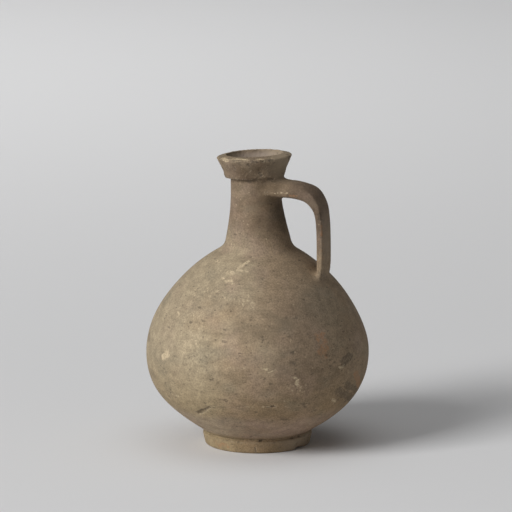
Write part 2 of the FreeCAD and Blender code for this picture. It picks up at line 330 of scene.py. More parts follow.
# %% [markdown]
# ## Turning the body
#
# Spin does what the wheel did. The two ends of the outline lie on the axis, so the skin closes into one
# watertight wall with the cavity inside. The neck then leans a little to one side, because the soft clay
# gave way when the handle was pressed on: each ring above the shoulder is tipped about a pivot, and the tip
# grows over the crease, so that nothing kinks.

# %% Spin the outline and lean the neck
LEAN_STARTS = 140.0
LEAN_FULL = 153.0
# Heights, and how far to the right of the axis the slice at each of them stands
DRIFT = ((0, 0.0), (9, 0.0), (20, 0.6), (46, 0), (70, 0), (94, -0.55), (122, 0), (142, 0.35), (215, 0.4))
WOBBLE = 0.16
WOBBLE_INWARDS = 0.8
WOBBLE_REACH = 34.0
AXIS_REACH = 1.0


def ease(value, low, high):
    """0 below low, 1 above high, and a smooth ramp between them."""
    t = min(1.0, max(0.0, (value - low) / (high - low)))
    return t * t * (3 - 2 * t)


def turned_skin(points, turns):
    """A bmesh in millimetres: the outline's points spun once about the upright axis."""
    form = bmesh.new()
    line = [form.verts.new((p.x, 0, p.y)) for p in points]
    edges = [form.edges.new(pair) for pair in zip(line, line[1:])]
    bmesh.ops.spin(
        form, geom=line + edges, axis=(0, 0, 1), cent=(0, 0, 0), angle=math.tau, steps=turns, use_merge=True,
    )
    bmesh.ops.remove_doubles(form, verts=form.verts, dist=0.001)
    bmesh.ops.recalc_face_normals(form, faces=form.faces)
    return form


def leant(point):
    """Where a point of the upright neck comes to lie once the neck leans."""
    tip_axis = Vector((-math.sin(LEAN_TOWARDS), math.cos(LEAN_TOWARDS), 0))
    pivot = Vector((0, 0, NECK_START))
    tip = Matrix.Rotation(NECK_LEAN * ease(point.z, LEAN_STARTS, LEAN_FULL), 3, tip_axis)
    return pivot + tip @ (point - pivot)


def drift(height):
    """How far to the right the slice at this height stands, since no thrown belly is quite true."""
    for (low, low_shift), (high, high_shift) in zip(DRIFT, DRIFT[1:]):
        if height <= high:
            return low_shift + (high_shift - low_shift) * ease(height, low, high)
    return DRIFT[-1][1]


def settled(point):
    """Where a point of the true, upright form comes to lie once the neck leans and the slices drift."""
    return leant(point) + view_right * drift(point.z)


def thrown(point):
    """Where a point of the true outline comes to lie on the hand-thrown body."""
    inwards = WOBBLE * (noise.noise(point / WOBBLE_REACH) - WOBBLE_INWARDS)
    from_axis = Vector((point.x, point.y, 0))
    if from_axis.length > AXIS_REACH:
        point = point + from_axis.normalized() * inwards
    return settled(point)


def as_mesh(form, name):
    """Writes the bmesh, still in millimetres, into a mesh object and frees it."""
    mesh = bpy.data.meshes.new(name)
    form.to_mesh(mesh)
    form.free()
    piece = bpy.data.objects.new(name, mesh)
    bpy.context.scene.collection.objects.link(piece)
    return piece


body_form = turned_skin(outline, BODY_TURNS)
for vert in body_form.verts:
    vert.co = thrown(vert.co)
body_tree = BVHTree.FromBMesh(body_form)
print("faces of the turned body:", len(body_form.faces))
body = as_mesh(body_form, "turned_body")

# %% [markdown]
# ## The strap handle
#
# A potter pulls a strap from a lump of clay, so it is thick and broad at its root and thins on its way down.
# A box with bevels would look machined. Here a ring of fourteen points, bent to lie inside the neck's wall, is
# extruded step by step along the route, and two levels of subdivision turn the cage into the smooth pulled
# form. Near the neck the ring is arched. Further down it is flat with softly squared edges.

# %% Sizes and route of the strap
HANDLE_REACH = 50.7
SEAT_REACH = 49.9
HANDLE_DROP = 9.6
HANDLE_RISE = 6.0
BEND_DEPTH = 13.7
BEND_CORNER = 0.3
ROOT_WIDTH = 29.0
ROOT_THICKNESS = 10.4
ROOT_IN_WALL = 15.4
STRAP_WIDTH = 19.8
STRAP_THICKNESS = 5.0
SEAT_DEPTH = 3.5
STRAP_RINGS = 48

# Places along the strap, from the neck's axis, between which it thins, narrows and turns from arched to flat
THINNING_STARTS = 31.0
THINNING_ENDS = 64.0
NARROWING_STARTS = 14.0
NARROWING_ENDS = 62.0
ARCH_ENDS = 24.0
FLAT_STARTS = 46.0

# Clay smeared where the strap meets the walls: how much, and how far along the strap it runs out
ROOT_SPREAD = 2.0
ROOT_SPREAD_REACH = 15.0
COLLAR_SMEAR = 19.0
COLLAR_SMEAR_MOST = 7.0
COLLAR_SMEAR_REACH = 10.0
UNDER_SMEAR = 13.0
UNDER_SMEAR_REACH = 10.0
SEAT_SPREAD = 2.0
SEAT_OUT = -1.0
SEAT_IN = 0.6
SEAT_SMEAR_REACH = 11.0


def shoulder_height_at(radius):
    """The height of the shoulder's outside at this distance from the axis."""
    return next(p.y for p in shoulder_line if p.x < radius)


def strap_route():
    """Middle points of the strap, from the neck's axis to just under the shoulder's skin."""
    top = NECK_START + NECK_LENGTH - HANDLE_DROP
    root = Vector((leant(Vector((0, 0, top))).x, top))
    bend = [
        Vector((HANDLE_REACH - BEND_DEPTH, top + HANDLE_RISE)),
        Vector((HANDLE_REACH - BEND_DEPTH * BEND_CORNER, top - BEND_DEPTH * 2 / 3)),
        Vector((HANDLE_REACH, top - BEND_DEPTH)),
    ]
    seat = Vector((SEAT_REACH, shoulder_height_at(SEAT_REACH) - SEAT_DEPTH))
    first_half = bend[0].lerp(bend[1], 0.5)
    second_half = bend[1].lerp(bend[2], 0.5)
    crown = first_half.lerp(second_half, 0.5)
    half = STRAP_RINGS // 2 + 1
    out = interpolate_bezier(root, bend[0], first_half, crown, half)
    down = interpolate_bezier(crown, second_half, bend[2], seat, half)
    return out[:-1] + down


route = strap_route()
run = [0.0]
for a, b in zip(route, route[1:]):
    run.append(run[-1] + (b - a).length)
print("strap length in mm:", round(run[-1], 1))

# %% The strap's cage, extruded ring by ring
# Corners of a ring as (outward, across), in shares of half the thickness and half the width
FLAT_RING = (
    (1, 0), (1, 0.58), (0.9, 0.98), (0.35, 1), (-0.35, 1), (-0.97, 1), (-1, 0.62),
    (-1, 0), (-1, -0.62), (-0.97, -1), (-0.35, -1), (0.35, -1), (0.9, -0.98), (1, -0.58),
)
ARCHED_RING = (
    (1.25, 0), (0.85, 0.58), (0.16, 0.96), (-0.12, 1.03), (-0.6, 1.03), (-0.94, 0.96), (-1, 0.6),
    (-1, 0), (-1, -0.6), (-0.94, -0.96), (-0.6, -1.03), (-0.12, -1.03), (0.16, -0.96), (0.85, -0.58),
)


def smear(distance, reach):
    """How much smeared clay there is this far from the wall: 1 at the wall and 0 beyond the reach."""
    return max(0.0, 1 - max(0.0, distance) / reach) ** 2


def along_route(distance):
    """The middle point of the strap this far along its route, and the strap's direction there."""
    index = next((i for i, length in enumerate(run) if length >= distance), len(run) - 1)
    index = max(1, index)
    share = (distance - run[index - 1]) / (run[index] - run[index - 1])
    middle = route[index - 1].lerp(route[index], share)
    before = route[max(0, index - 2)]
    after = route[min(len(route) - 1, index + 1)]
    return middle, (after - before).normalized()


def strap_corner(share, flat, arched):
    """One corner of the strap's ring at this share of the way from the neck's wall to the seat."""
    # The first ring is bent to the neck's wall, and the rings straighten on their way out of it
    across = flat[1] * (ROOT_WIDTH + ROOT_SPREAD) / 2
    start = math.sqrt(max(0.0, ROOT_IN_WALL ** 2 - across ** 2))
    distance = run[-1] * share + start * (1 - share) ** 3
    middle, along = along_route(distance)
    outward = Vector((-along.y, 0, along.x))
    from_neck = distance - start - (NECK_TOP_RADIUS - ROOT_IN_WALL)
    from_seat = run[-1] - distance - SEAT_DEPTH
    root_smear = smear(from_neck, ROOT_SPREAD_REACH)
    seat_smear = smear(from_seat, SEAT_SMEAR_REACH)
    narrowed = ease(distance, NARROWING_STARTS, NARROWING_ENDS)
    width = ROOT_WIDTH + (STRAP_WIDTH - ROOT_WIDTH) * narrowed
    width += ROOT_SPREAD * root_smear + SEAT_SPREAD * seat_smear
    thinned = ease(distance, THINNING_STARTS, THINNING_ENDS)
    thickness = ROOT_THICKNESS + (STRAP_THICKNESS - ROOT_THICKNESS) * thinned
    flatness = ease(distance, ARCH_ENDS, FLAT_STARTS)
    u = arched[0] + (flat[0] - arched[0]) * flatness
    v = arched[1] + (flat[1] - arched[1]) * flatness
    collar_smear = min(COLLAR_SMEAR_MOST, COLLAR_SMEAR * smear(from_neck, COLLAR_SMEAR_REACH))
    offset = u * thickness / 2 + max(0, u) * (collar_smear + SEAT_OUT * seat_smear)
    offset -= max(0, -u) * (UNDER_SMEAR * smear(from_neck, UNDER_SMEAR_REACH) + SEAT_IN * seat_smear)
    return Vector((middle.x, 0, middle.y)) + outward * offset + Vector((0, v * width / 2, 0))


def ring_place(index):
    """The corners of one ring of the strap's cage."""
    return [strap_corner(index / STRAP_RINGS, flat, arched) for flat, arched in zip(FLAT_RING, ARCHED_RING)]


def strap_cage():
    """A closed cage: one ring extruded along the route, with six four-sided faces over each end."""
    form = bmesh.new()
    ring = [form.verts.new(p) for p in ring_place(0)]
    edges = [form.edges.new((a, b)) for a, b in zip(ring, ring[1:] + ring[:1])]
    end_rings = [ring]
    for index in range(1, STRAP_RINGS + 1):
        grown = bmesh.ops.extrude_edge_only(form, edges=edges)["geom"]
        fresh = sorted((g for g in grown if isinstance(g, bmesh.types.BMVert)), key=lambda v: v.index)
        edges = [g for g in grown if isinstance(g, bmesh.types.BMEdge)]
        for vert, place in zip(fresh, ring_place(index)):
            vert.co = place
    end_rings.append(fresh)
    for end in end_rings:
        form.faces.new((end[0], end[1], end[6], end[7]))
        form.faces.new((end[13], end[0], end[7], end[8]))
        form.faces.new((end[1], end[2], end[5], end[6]))
        form.faces.new((end[12], end[13], end[8], end[9]))
        form.faces.new(end[2:6])
        form.faces.new(end[9:13])
    bmesh.ops.recalc_face_normals(form, faces=form.faces)
    return form


cage = strap_cage()
print("faces of the strap's cage:", len(cage.faces))
strap = as_mesh(cage, "strap")
rounding = strap.modifiers.new("pulled_clay", "SUBSURF")
rounding.levels = 2
rounding.render_levels = 2

# %% [markdown]
# ## One skin
#
# The real strap was scored, wetted and thumbed onto the leather-hard wall, so the two are one piece of clay.
# Two shells that only pass through each other would show a hard line, so a boolean union joins them here.

# %% Join the strap to the body


def made_solid(piece):
    """The piece's mesh with its modifiers worked in, as a bmesh, and the piece itself removed."""
    bpy.context.view_layer.update()
    final = bpy.data.meshes.new_from_object(piece.evaluated_get(bpy.context.evaluated_depsgraph_get()))
    form = bmesh.new()
    form.from_mesh(final)
    bpy.data.objects.remove(piece)
    return form


strap_form = made_solid(strap)
strap_tree = BVHTree.FromBMesh(strap_form)
strap = as_mesh(strap_form, "strap")
joining = body.modifiers.new("luted_on", "BOOLEAN")
joining.operation = "UNION"
joining.solver = "EXACT"
joining.object = strap
skin = made_solid(body)
bpy.data.objects.remove(strap)
print("faces after the union:", len(skin.faces), "open edges:", sum(1 for e in skin.edges if not e.is_manifold))

# %% [markdown]
# ## Thumbing the joints
#
# The potter wiped wet clay over both joints, so the strap flows into the neck and the shoulder. Smoothing does
# the same: wide, gentle passes first, then closer and closer to the seam. How near a point is to the seam is
# the distance to whichever of the two old skins it doesn't lie on.

# %% Smooth the joints
# How near the seam the points lie, and how many passes they get where rows lie THUMB_ROW_STEP apart
THUMB_REACHES = ((8.0, 5), (5.0, 8), (3.5, 10), (2.2, 12))
THUMB_ROW_STEP = 2.0
# The collar keeps its edge, apart from the strap's side, where the thumb climbed over it
THUMB_LIMIT = collar_foot + 1.2
THUMB_OVER_COLLAR = 3.0
THUMB_CLIMB = (12, 18)


def joint_distance(point):
    """How far this point of the joined skin is from the seam between body and strap."""
    to_body = body_tree.find_nearest(point)[3]
    to_strap = strap_tree.find_nearest(point)[3]
    return max(to_body, to_strap)


by_distance = []
for vert in skin.verts:
    near_strap = strap_tree.find_nearest(vert.co, THUMB_REACHES[0][0])[0] is not None
    if near_strap and vert.co.z < THUMB_LIMIT + THUMB_OVER_COLLAR * ease(vert.co.x, *THUMB_CLIMB):
        by_distance.append((joint_distance(vert.co), vert))
for reach, passes in THUMB_REACHES:
    near = [vert for distance, vert in by_distance if distance < reach]
    for _ in range(round(passes * (THUMB_ROW_STEP / ROW_STEP) ** 2)):
        bmesh.ops.smooth_vert(skin, verts=near, factor=0.5, use_axis_x=True, use_axis_y=True, use_axis_z=True)
    print("smoothed", len(near), "points within", reach, "mm of the joints")

# %% [markdown]
# ## Knocks, chips and stains
#
# A jug this old is told apart by its damage. Each mark was measured in the picture as one short stroke with a
# half width, a depth and a colour: pale where fresh clay shows, dark where dirt sits, orange where iron has
# bled. A few pale strokes are painted highlight: on the near-left lip, which is also worn pale there, and a
# broad faint wash on the belly where the key lamp falls brightest. The stroke's ends are followed along their
# rays to the clay. A texture painted from the front would smear on the sides, while real dents with a few
# numbers stored at their points hold from all sides. The mesh is made finer only where marks are, since fine
# rows everywhere would cost a million faces.

# %% The marks, as picture points in pixels and sizes in millimetres
MARKS = (
    # x and y of one end, x and y of the other, half width, depth, pale, dark, orange
    (198, 412.4, 203, 409.8, 1.7, 0.9, 0, 0.95, 0),
    (203, 409.8, 209, 407, 1.1, 0.6, 0.2, 0.6, 0),
    (163, 356.5, 167, 353.5, 2.7, 0.45, 0.85, 0, 0.1),
    (190, 345, 194, 362, 0.9, 0.1, 0.32, 0, 0),
    (195, 340, 198, 356, 0.8, 0.1, 0.36, 0, 0),
    (184, 340, 187, 362, 0.8, 0.1, 0.32, 0, 0),
    (182, 322, 187, 321, 1.2, 0.1, 0.3, 0, 0),
    (178, 312, 179, 314, 1.0, 0.1, 0.45, 0, 0),
    (192, 312, 199, 331, 0.8, 0.1, 0.26, 0, 0),
    # This broad, faint pale stroke is a painted highlight on the belly where the key lamp falls brightest
    (182, 312, 194, 366, 10.5, 0, 0.12, 0, 0),
    (196, 290, 248, 302, 7.0, 0, 0.18, 0, 0),
    (226, 368, 246, 368, 1.3, 0, 0.28, 0, 0),
    (262, 368, 266, 369, 0.8, 0.1, 0.5, 0, 0),
    (172, 394, 178, 396, 1.0, 0.1, 0.36, 0, 0),
    (202, 320.4, 204, 320.6, 0.9, 0.2, 0, 0.8, 0),
    (222.5, 341, 225, 341.4, 1.0, 0.2, 0, 0.8, 0),
    (262.4, 337, 262.6, 339, 1.0, 0.2, 0, 0.8, 0),
    (188, 355.5, 188.4, 358, 0.9, 0.2, 0, 0.7, 0),
    (292.6, 362.4, 294, 362.8, 1.1, 0.2, 0, 0.8, 0),
    (326.6, 354.6, 328.6, 355.4, 1.0, 0.2, 0, 0.8, 0),
    (225, 400, 226.6, 400.4, 1.1, 0.25, 0, 0.8, 0),
    (210, 379.5, 212, 379.5, 0.9, 0.2, 0, 0.7, 0),
    (291.8, 352, 292.6, 353, 0.9, 0.2, 0, 0.7, 0),
    (303, 403, 304, 407, 1.0, 0.2, 0, 0.7, 0),
    (281, 419, 286, 418.6, 1.2, 0.15, 0, 0.6, 0),
    (190, 322, 191, 322, 0.9, 0.2, 0, 0.7, 0),
    (212, 406, 240, 406.6, 0.6, 0.16, 0.4, 0, 0),
    (244, 406.4, 270, 406, 0.6, 0.16, 0.36, 0, 0),
    (213, 407.2, 268, 407.2, 0.5, 0.1, 0, 0.9, 0),
    (271.5, 406, 272.3, 406, 1.1, 0.8, 0, 1.0, 0),
    (297, 385, 297.6, 379, 1.1, 0.2, 0.6, 0, 0),
    (297.6, 379, 293.4, 376.8, 0.9, 0.2, 0.55, 0, 0),
    (291, 388, 302, 390, 4.5, 0.1, 0.2, 0, 0),
    (268, 372, 276, 369, 0.6, 0.1, 0.5, 0, 0),
    (339, 368, 344, 364, 0.6, 0.1, 0.5, 0, 0),
    (343, 362, 349, 356, 3.6, 0, 0, 0.8, 0),
    (338, 391, 352, 397, 3.8, 0, 0, 0.8, 0),
    (346, 384, 356, 390, 3.0, 0, 0, 0.7, 0),
    (339.5, 367.5, 342.5, 366.4, 0.9, 0.1, 0.9, 0, 0),
    (355, 373, 358, 385, 3.0, 0, 0, 0, 0.8),
    (320, 338, 324, 352, 6.0, 0, 0, 0.12, 0.42),
    (321.5, 226, 322.3, 262, 1.6, 0, 0, 0, 0.36),
    (332, 399, 346, 404, 1.4, 0.1, 0.5, 0, 0),
    (237.6, 267.7, 248, 260.8, 1.3, 0.15, 0.6, 0, 0),
    (236.6, 269.7, 247.5, 271.2, 1.0, 0.1, 0.55, 0, 0),
    (229, 232, 232, 246, 3.0, 0, 0.22, 0, 0),
    (228, 272, 232, 273, 1.9, 0.4, 0.9, 0, 0),
    (225, 280.5, 231, 280.5, 1.2, 0.3, 0.8, 0, 0),
    (221, 278, 223, 278, 0.9, 0.3, 0.7, 0, 0),
    (231, 283, 231.6, 284, 0.6, 0.2, 0.8, 0, 0),
    (216, 260, 218, 262, 1.8, 0.15, 0.4, 0.15, 0),
    (319.2, 214.6, 319.8, 218.4, 1.8, 0.3, 0, 1.0, 0),
    (289, 195.2, 296, 195.6, 1.0, 0.1, 0, 0, 0.45),
    (270, 192.6, 287, 192.6, 0.7, 0, 0.34, 0, 0),
    (259.4, 440, 260.8, 440, 1.0, 0.7, 0, 1.0, 0),
    (290.4, 437, 291.8, 437, 1.0, 0.7, 0, 1.0, 0),
    (297.6, 435.5, 298.6, 435.4, 0.8, 0.6, 0, 1.0, 0),
    (254.4, 447, 255.8, 452, 0.4, 0.3, 0, 0.7, 0),
    (214, 441, 226, 445.5, 3.0, 0, 0, 0, 0.34),
    (299, 446, 308, 437, 5.5, 1.2, 0, 0, 0),
    # These two pale strokes on the near-left lip are painted highlight where its bevel faces the key lamp, over
    # clay worn pale there
    (221.5, 157.4, 226.5, 160, 1.5, 0.3, 1.0, 0, 0),
    (230, 158.6, 246, 159.0, 1.0, 0.2, 1.0, 0, 0.1),
    (257, 158.6, 262, 158.8, 1.2, 0.3, 0.45, 0, 0),
    (268, 157.6, 272, 157.4, 0.6, 0.15, 0.35, 0, 0),
    (288, 154, 289.4, 156.4, 2.2, 0.4, 0, 0.8, 0),
    (251, 160.6, 256, 161.6, 1.2, 0.3, 0, 0.7, 0),
    (263, 160.5, 272, 159, 1.4, 0.4, 0, 0.7, 0),
    (247.5, 164.5, 249, 166, 1.1, 0.3, 0, 0.7, 0),
    (259, 173, 260.5, 174.5, 1.2, 0.4, 0, 0.8, 0),
    (268, 178.6, 273, 178.4, 0.9, 0.3, 0, 0.8, 0),
    (233, 167, 234.4, 168.4, 1.3, 0.3, 0, 0.5, 0),
)
print("measured marks:", len(MARKS))

# %% Find the marks on the clay
HIDDEN_MARKS = 46
HIDDEN_TURN_STEP = 205.14
HIDDEN_RISE_STEP = 0.75488
HIDDEN_LOWEST = 14
HIDDEN_RANGE = 150
HIDDEN_BEHIND = 0.15
HIDDEN_SEED = 1796127186
OUT_OF_REACH = 120
skin_tree = BVHTree.FromBMesh(skin)


def seen(picture_x, picture_y):
    """The place on the clay that this picture point shows."""
    return skin_tree.ray_cast(camera_place, ray_through(picture_x, picture_y))[0]


def hidden_marks():
    """Marks for the sides that the picture doesn't show, spread evenly and made unlike by noise."""
    # Without a seed, noise_vector starts from the clock, and each run would draw other marks
    noise.seed_set(HIDDEN_SEED)
    found = []
    for i in range(HIDDEN_MARKS):
        height = HIDDEN_LOWEST + HIDDEN_RANGE * ((i * HIDDEN_RISE_STEP) % 1)
        turn = math.radians(i * HIDDEN_TURN_STEP)
        from_outside = Vector((math.cos(turn), math.sin(turn), 0))
        if from_outside.dot(level_ahead) < HIDDEN_BEHIND:
            continue
        start = from_outside * OUT_OF_REACH + Vector((0, 0, height))
        place, normal, _, _ = skin_tree.ray_cast(start, -from_outside)
        chance = noise.noise_vector(Vector((i * 3.7, i * 1.3, 0.5)))
        stroke = normal.cross(Vector((chance.x, chance.y, 1))).normalized() * (1 + 7 * abs(chance.z))
        half_width = 0.6 + 2.2 * abs(chance.x)
        depth = 0.1 + 0.4 * abs(chance.z)
        every_third = i % 3 == 0
        pale = 0.0 if every_third else 0.4 + 0.6 * abs(chance.y)
        dark = 0.8 if every_third else 0.0
        found.append((place, place + stroke, half_width, depth, pale, dark, 0.0))
    return found


marks = [(seen(*m[0:2]), seen(*m[2:4])) + m[4:] for m in MARKS]
missed = [i for i, m in enumerate(marks) if m[0] is None or m[1] is None]
marks = [m for i, m in enumerate(marks) if i not in missed] + hidden_marks()
print("marks on the clay:", len(marks), "missed:", missed)

# %% Make the mesh finer round them, then press them in
# One pass of refinement for the marks below each of these half widths
FINE_BELOW = ((4.0, 1.6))
FINE_MARGIN = 0.8
SEARCH_MARGIN = 1.5
RAGGED = 0.45
RAGGED_GRAIN = 1.1
DENT_RIM = (-0.1, 0.5)
COLOUR_RIM = (-0.2, 0.35)


def near_stroke(lookup, start, end, reach):
    """Numbers of the points that lie within reach of the stroke's middle or its ends."""
    steps = max(1, round((end - start).length / reach))
    spots = [start.lerp(end, i / steps) for i in range(steps + 1)]
    return {hit[1] for spot in spots for hit in lookup.find_range(spot, reach * SEARCH_MARGIN)}


def lookup_of(form):
    """A quick finder for the points of this mesh."""
    form.verts.ensure_lookup_table()
    lookup = KDTree(len(form.verts))
    for vert in form.verts:
        lookup.insert(vert.co, vert.index)
    lookup.balance()
    return lookup


for widest in FINE_BELOW:
    skin.verts.index_update()
    skin.edges.index_update()
    lookup = lookup_of(skin)
    chosen = set()
    for start, end, half_width, *_ in marks:
        if half_width < widest:
            chosen |= near_stroke(lookup, start, end, half_width + FINE_MARGIN)
    edges = {e for i in chosen for e in skin.verts[i].link_edges if e.other_vert(skin.verts[i]).index in chosen}
    bmesh.ops.subdivide_edges(skin, edges=sorted(edges, key=lambda e: e.index), cuts=1, use_grid_fill=True)
skin.verts.index_update()
skin.normal_update()
lookup = lookup_of(skin)
tint = skin.verts.layers.float_color.new("marks")
for vert in skin.verts:
    vert[tint] = (0, 0, 0, 0)
for start, end, half_width, depth, pale, dark, orange in marks:
    stroke = end - start
    for i in near_stroke(lookup, start, end, half_width * (1 + RAGGED)):
        vert = skin.verts[i]
        share = 0.0
        if stroke.length > 0:
            share = min(1.0, max(0.0, (vert.co - start).dot(stroke) / stroke.length_squared))
        distance = (vert.co - start - stroke * share).length / half_width
        distance *= 1 + RAGGED * noise.noise(vert.co * RAGGED_GRAIN)
        fresh = Vector((pale, dark, orange, 0)) * ease(1 - distance, *COLOUR_RIM)
        vert[tint] = [max(old, new) for old, new in zip(vert[tint], fresh)]
        vert.co -= vert.normal * depth * ease(1 - distance, *DENT_RIM)
print("faces with marks:", len(skin.faces))

# %% [markdown]
# ## A worn lip
#
# The lip has been knocked against other pots for years. Balls pressed into its edge leave the same shell-shaped
# breaks that a blow leaves, and a little noise roughens the collar, whose outside has flaked.

# %% Chips in the lip and a rough collar
LIP_CHIPS = (
    # where round the rim in degrees, radius of the ball and depth in millimetres
    (-101, 8.0, 0.9), (-77, 9.0, 1.3), (-55, 7.0, 1.5), (8, 6.0, 0.3),
    (-118, 4.0, 0.5), (-88, 3.5, 0.6), (-66, 4.0, 0.7), (-38, 5.0, 0.7), (-20, 4.0, 0.5),
    (44, 5.0, 0.3), (75, 7.0, 1.0), (98, 4.0, 0.6), (131, 8.0, 0.8), (170, 4.0, 0.5), (-150, 6.0, 0.5),
)
CHIP_UNEVEN = 0.07
CHIP_GRAIN = 0.9
CHIP_PALE = 0.25
COLLAR_ROUGH = 0.26
COLLAR_GRAIN = 1.9
COLLAR_SUNK = 0.6
ROUGH_FROM = collar_foot - 3
ROUGH_FULL = collar_foot + 2

for degrees, ball, depth in LIP_CHIPS:
    turn = math.radians(degrees)
    away = LIP_RADIUS + ball - depth
    middle = settled(Vector((away * math.cos(turn), away * math.sin(turn), outermost + depth)))
    for _, i, _ in lookup.find_range(middle, ball * 1.1):
        vert = skin.verts[i]
        from_middle = vert.co - middle
        wall = ball * (1 + CHIP_UNEVEN * noise.noise(vert.co * CHIP_GRAIN))
        if from_middle.length < wall:
            vert.co = middle + from_middle.normalized() * wall
            vert[tint] = [max(vert[tint][0], CHIP_PALE), vert[tint][1], vert[tint][2], 0]
print("chips in the lip:", len(LIP_CHIPS))
for vert in skin.verts:
    rough = ease(vert.co.z, ROUGH_FROM, ROUGH_FULL)
    if rough > 0:
        grain = noise.noise(vert.co / COLLAR_GRAIN) + 0.5 * noise.noise(vert.co * 2.1 / COLLAR_GRAIN)
        vert.co -= vert.normal * COLLAR_ROUGH * rough * (grain + COLLAR_SUNK)

# %% Note which points stand out, for the edge wear, and which lie in hollows, for dirt with painted shade
WEAR_FROM = 0.03
WEAR_GAIN = 5.0
HOLLOW_DIRT_AND_SHADE_FROM = 0.04
HOLLOW_DIRT_AND_SHADE_GAIN = 4.0
HOLLOW_DIRT_AND_SHADE_MOST = 0.5
skin.normal_update()
for vert in skin.verts:
    around = [edge.other_vert(vert).co - vert.co for edge in vert.link_edges]
    spread = sum(v.length for v in around)
    bulge = -sum(v.dot(vert.normal) for v in around) / spread if spread > 0 else 0
    pale, dark, orange, _ = vert[tint]
    # Points in hollows and creases, such as the foot's groove and the neck's crease, get darker: dirt together
    # with painted shade
    dark = max(dark, min(HOLLOW_DIRT_AND_SHADE_MOST, (-bulge - HOLLOW_DIRT_AND_SHADE_FROM) * HOLLOW_DIRT_AND_SHADE_GAIN))
    vert[tint] = (pale, dark, orange, min(1.0, max(0.0, (bulge - WEAR_FROM) * WEAR_GAIN)))

jug = as_mesh(skin, "earthenware_jug")
jug.data.transform(Matrix.Scale(MM, 4))
for polygon in jug.data.polygons:
    polygon.use_smooth = True
print("triangles of the jug:", sum(len(polygon.vertices) - 2 for polygon in jug.data.polygons))

# %% [markdown]
# ## Fired clay, in small reusable groups
#
# Earthenware is never one colour: ash and burial leave pinker and greyer patches, the wheel leaves fine level
# lines, and grit that burnt out leaves pits. Seen from the camera, the clay turns from greenish tan on the left
# to
# brown on the right: partly the clay's own browner colour, partly painted shade on the side turned away from the
# key lamp. Each effect is a node group that takes a position and gives back a colour, a mask or a height, and
# the one shader stays in the material. A painted image would show seams and run out of detail close up, while
# these patterns are worked out at every point of the clay.

# %% Helpers for node groups
FLOAT, VECTOR, COLOUR = "NodeSocketFloat", "NodeSocketVector", "NodeSocketColor"


def group(name, inputs, outputs):
    """An empty node group with named sockets, and its input and output nodes."""
    tree = bpy.data.node_groups.new(name, "ShaderNodeTree")
    for label, kind, value in inputs:
        socket = tree.interface.new_socket(label, in_out="INPUT", socket_type=kind)
        if value is not None:
            socket.default_value = value
    for label, kind in outputs:
        tree.interface.new_socket(label, in_out="OUTPUT", socket_type=kind)
    return tree, tree.nodes.new("NodeGroupInput"), tree.nodes.new("NodeGroupOutput")


def add(tree, kind, feeds, **settings):
    """A node with its settings. Each feed is a value, or the socket that is linked to it."""
    made = tree.nodes.new(kind)
    for key, value in settings.items():
        setattr(made, key, value)
    for key, value in feeds.items():
        if isinstance(value, bpy.types.NodeSocket):
            tree.links.new(value, made.inputs[key])
        else:
            made.inputs[key].default_value = value
    return made


def calc(tree, operation, first, second):
    """One sum, product or the like of two values."""
    return add(tree, "ShaderNodeMath", {0: first, 1: second}, operation=operation).outputs[0]


def vector_calc(tree, operation, first, second, output=0):
    """The same for two vectors. A distance or a dot product comes out at "Value"."""
    return add(tree, "ShaderNodeVectorMath", {0: first, 1: second}, operation=operation).outputs[output]


def scaled(tree, vector, factor):
    """A vector or a colour times a value."""
    return add(tree, "ShaderNodeVectorMath", {0: vector, "Scale": factor}, operation="SCALE").outputs[0]


def between(tree, value, low, high, to_low=0.0, to_high=1.0):
    """A smooth ramp that goes from to_low to to_high while the value goes from low to high."""
    feeds = {"Value": value, "From Min": low, "From Max": high, "To Min": to_low, "To Max": to_high}
    return add(tree, "ShaderNodeMapRange", feeds, interpolation_type="SMOOTHSTEP").outputs[0]


def blend(tree, share, first, second, blend_type="MIX"):
    """Two colours mixed by a share."""
    made = add(tree, "ShaderNodeMix", {0: share, 6: first, 7: second}, data_type="RGBA", blend_type=blend_type)
    return made.outputs[2]


def grains(tree, position, scale, detail=2.0):
    """Noise of this scale, per metre, as a value about one half."""
    return add(tree, "ShaderNodeTexNoise", {"Vector": position, "Scale": scale, "Detail": detail}).outputs[0]


def stretched(tree, position, sideways):
    """The position with its level directions squeezed, so that patterns run round the pot."""
    return vector_calc(tree, "MULTIPLY", position, (sideways, sideways, 1))


print("node helpers ready")

# %% Group: patches of ash and pink flush, and a browner right side with painted shade
TAN = (0.355, 0.286, 0.190, 1)
BROWN = (0.284, 0.209, 0.134, 1)
PINK = (0.330, 0.240, 0.172, 1)
GREY = (0.225, 0.195, 0.140, 1)

# Scale per metre and detail of each noise
RIGHT_BROWN_SHADE_NOISE = (20, 5)
PINK_NOISE = (34, 6)
ASH_NOISE = (52, 6)
SHADE_NOISE = (210, 6)
SPECKLE_NOISE = (900, 4)

# Ramps: from, to, and where they aren't 0 and 1, the share at both
RIGHT_BROWN_SHADE_EDGE = (-0.050, 0.025)
RIGHT_BROWN_SHADE_WANDER = 0.16
PINK_RAMP = (0.48, 0.68, 0, 0.6)
PINK_SIDE = (-0.06, -0.015, 0.25, 1)
ASH_RAMP = (0.52, 0.74, 0, 0.45)
SHADE_RAMP = (0.3, 0.7, 0.87, 1.12)
SPECKLE_RAMP = (0.3, 0.7, 0.82, 1.17)

patches, given, result = group(
    "clay_patches",
    [
        ("Position", VECTOR, None), ("Tan", COLOUR, TAN), ("Brown", COLOUR, BROWN),
        ("Pink", COLOUR, PINK), ("Grey", COLOUR, GREY),
    ],
    [("Color", COLOUR)],
)
place = given.outputs["Position"]
